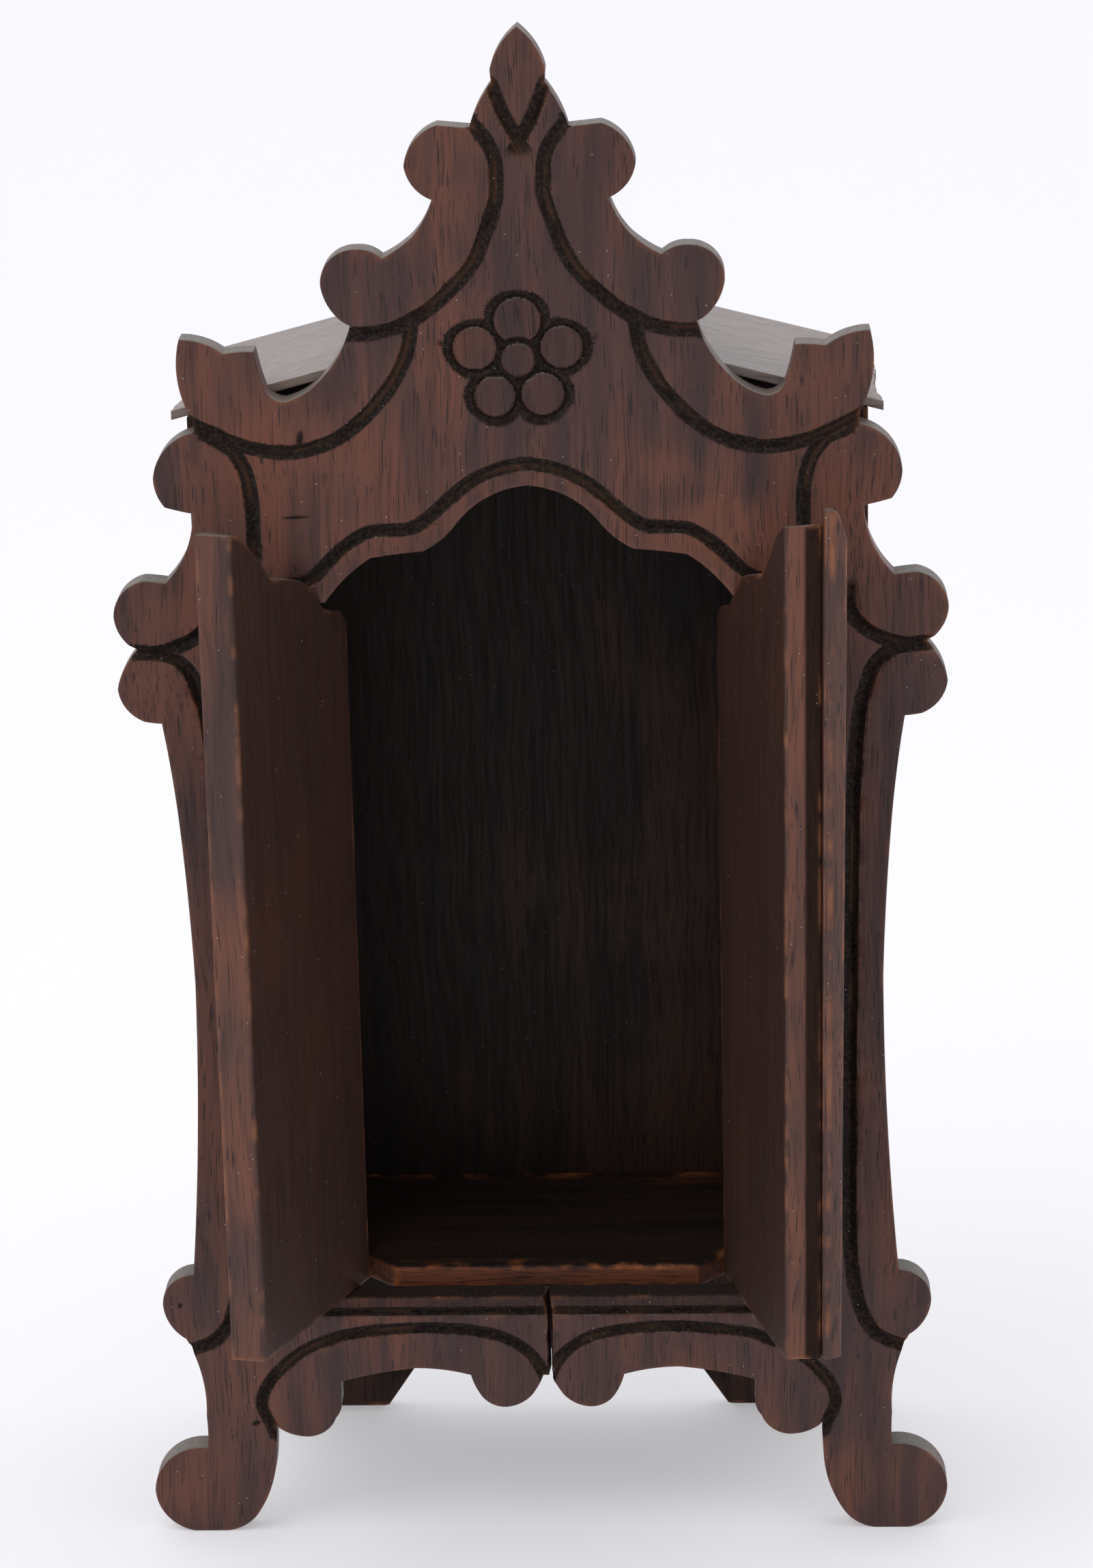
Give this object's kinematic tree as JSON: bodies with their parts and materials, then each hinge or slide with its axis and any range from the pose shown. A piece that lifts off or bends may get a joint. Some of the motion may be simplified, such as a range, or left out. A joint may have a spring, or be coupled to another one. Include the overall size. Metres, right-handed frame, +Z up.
{
  "type": "oratory shrine",
  "caption": "Household oratory: a carved, pierced wooden front with two hinged doors before a shallow gabled case that holds a devotional figure.",
  "frame": {"origin": "centre of the bounding box at its bottom, on the ground, with the doors standing open as at rest", "axes": "+Z up, along the height to the carved tip; the front faces -Y; +X is to the right for someone facing the front"},
  "size_m": [0.2636, 0.1566, 0.5],
  "materials": {
    "carved_panel": "old waxed hardwood, dusty in the carving and worn orange on the edges",
    "doors": "old waxed hardwood, darker on the inner faces",
    "strip": "old waxed hardwood, worn",
    "case_boards": "dark unfinished hardwood",
    "roof_boards": "weathered thin boards, grey and dusty"
  },
  "bodies": {
    "case": {"front_panel": "carved_panel", "left_side": "case_boards", "right_side": "case_boards", "back_panel": "case_boards", "floor_board": "case_boards", "left_roof_board": "roof_boards", "right_roof_board": "roof_boards"},
    "left_leaf": {"left_door": "doors"},
    "right_leaf": {"right_door": "doors", "cover_strip": "strip"}
  },
  "joints": [
    {"name": "left_hinge", "type": "hinge", "parent": "case", "child": "left_leaf", "pos_m": [-0.0648, -0.01507, 0.2], "axis": [0, 0, 1], "range_deg": [0, 113.5]},
    {"name": "right_hinge", "type": "hinge", "parent": "case", "child": "right_leaf", "pos_m": [0.0636, -0.01507, 0.2], "axis": [0, 0, 1], "range_deg": [-105.7, 7]}
  ]
}
